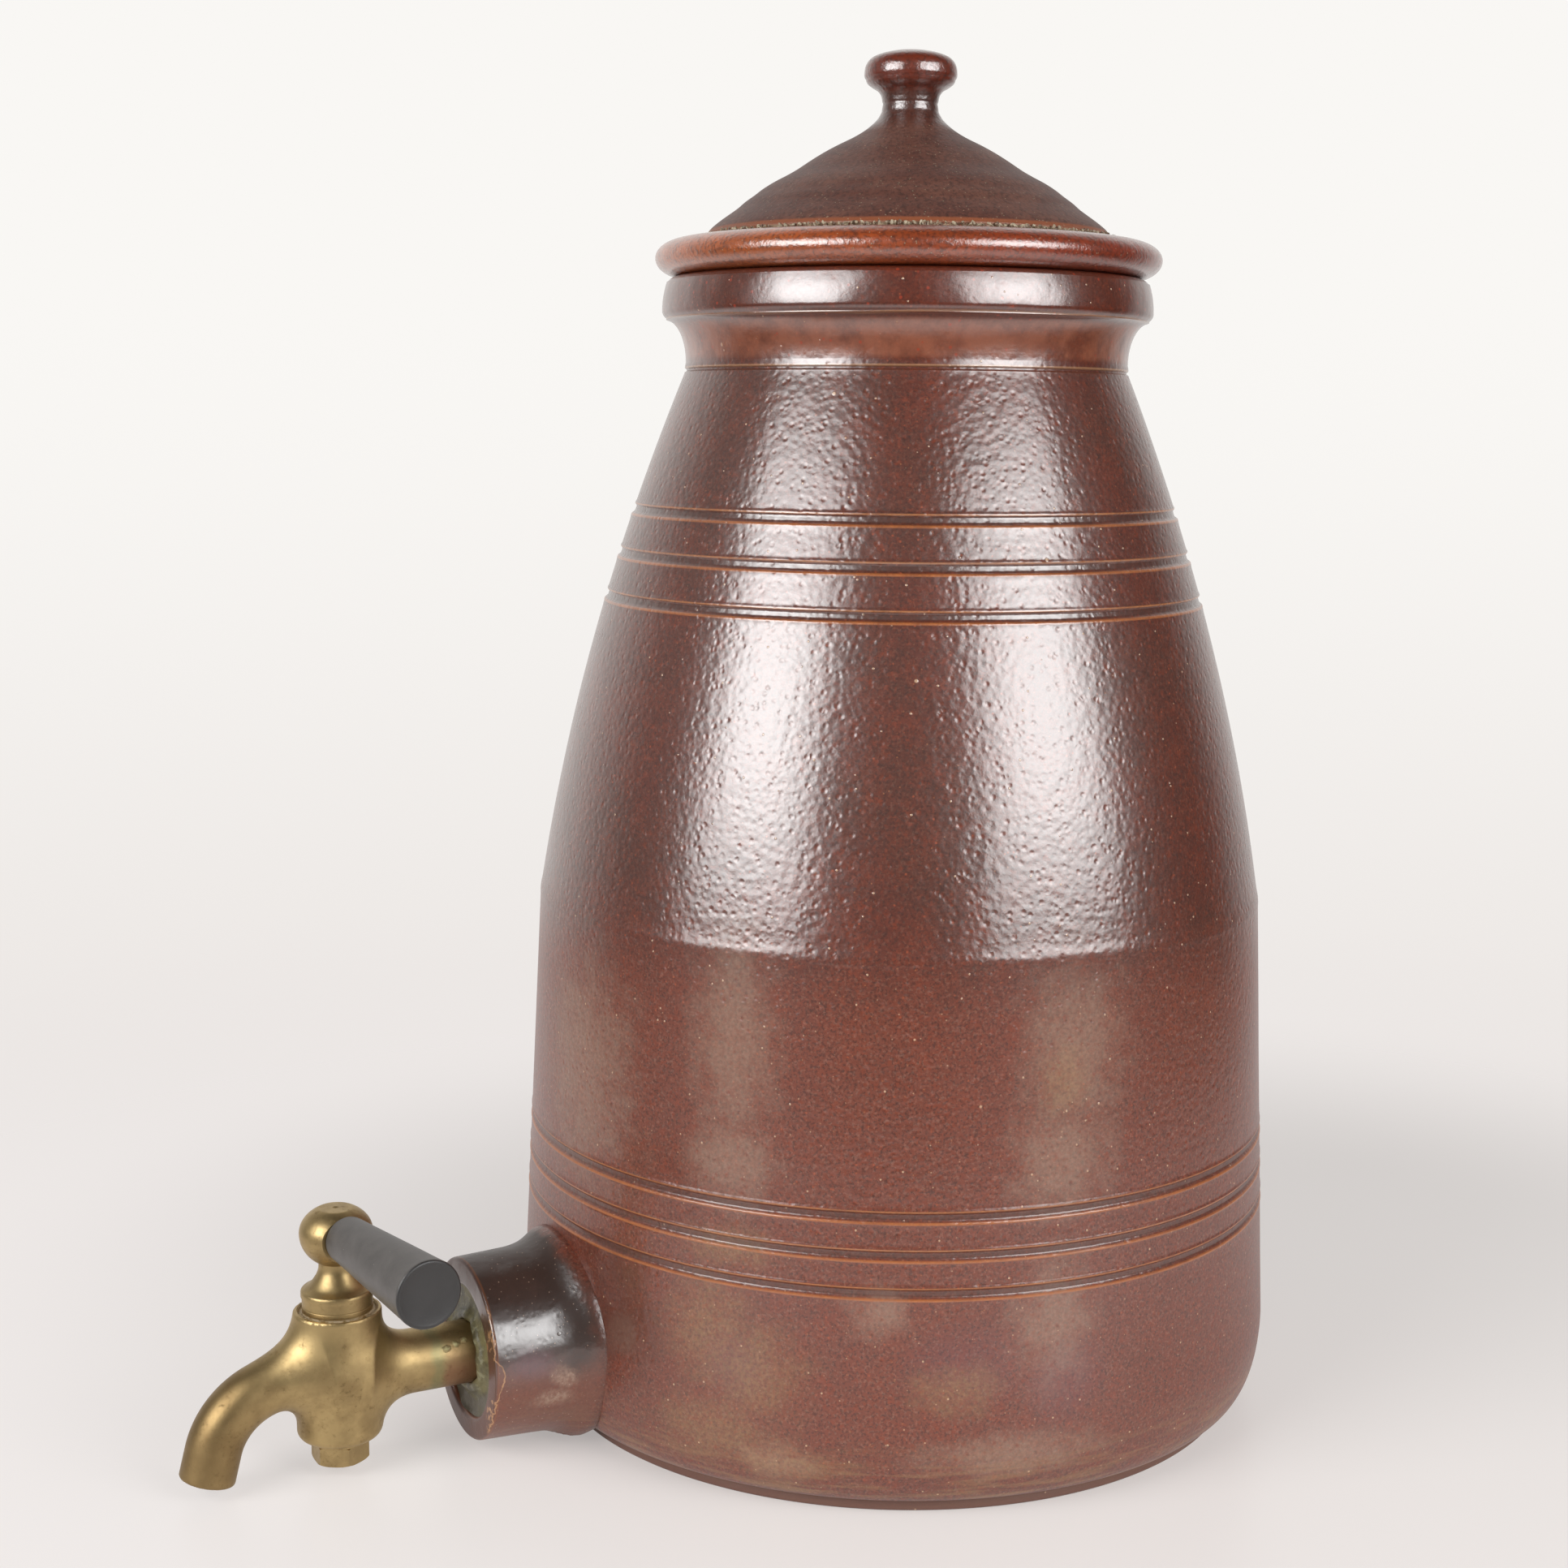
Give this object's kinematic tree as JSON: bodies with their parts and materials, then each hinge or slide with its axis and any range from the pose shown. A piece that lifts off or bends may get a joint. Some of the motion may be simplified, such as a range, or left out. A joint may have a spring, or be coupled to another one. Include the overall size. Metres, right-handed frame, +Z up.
{
  "type": "water pot with tap",
  "caption": "Stoneware water pot with a slightly tapering drum, sloping shoulder and rolled collar, a lift-off domed lid with a knob, and a plug tap in a boss near the foot.",
  "frame": {"origin": "the middle of the flat foot, on the pot's turning axis", "axes": "+Z up along the pot's turning axis; the tap points along -Y; +X is to the right of someone facing the tap"},
  "size_m": [0.242, 0.3572, 0.4233],
  "materials": {
    "glazed_stoneware": "dark red-brown glaze, glossy and slightly dimpled",
    "glazed_stoneware_lid": "brown glaze, duller on the cone, glossy on the flange and knob",
    "set_compound": "set olive-grey compound, matt and uneven",
    "aged_brass": "cast brass with a dull patina, satin",
    "aged_brass_plug": "turned brass with a dull patina, satin",
    "spindle_steel": "plain turned steel",
    "black_grip": "black moulded plastic, satin and dusty"
  },
  "bodies": {
    "pot": {"pot_body": "glazed_stoneware", "bedding_compound": "set_compound", "tap_body": "aged_brass"},
    "lid": {"lid": "glazed_stoneware_lid"},
    "tap_key": {"tap_plug": "aged_brass_plug", "handle_spindle": "spindle_steel", "handle_grip": "black_grip", "plug_washer": "aged_brass_plug", "plug_nut": "aged_brass_plug"}
  },
  "joints": [
    {"name": "lid_lift", "type": "slide", "parent": "pot", "child": "lid", "axis": [0, 0, 1], "range_m": [0, 0.12]},
    {"name": "tap_turn", "type": "hinge", "parent": "pot", "child": "tap_key", "pos_m": [0, -0.1884, 0.0302], "axis": [0, 0, -1], "range_deg": [0, 97.4]}
  ]
}
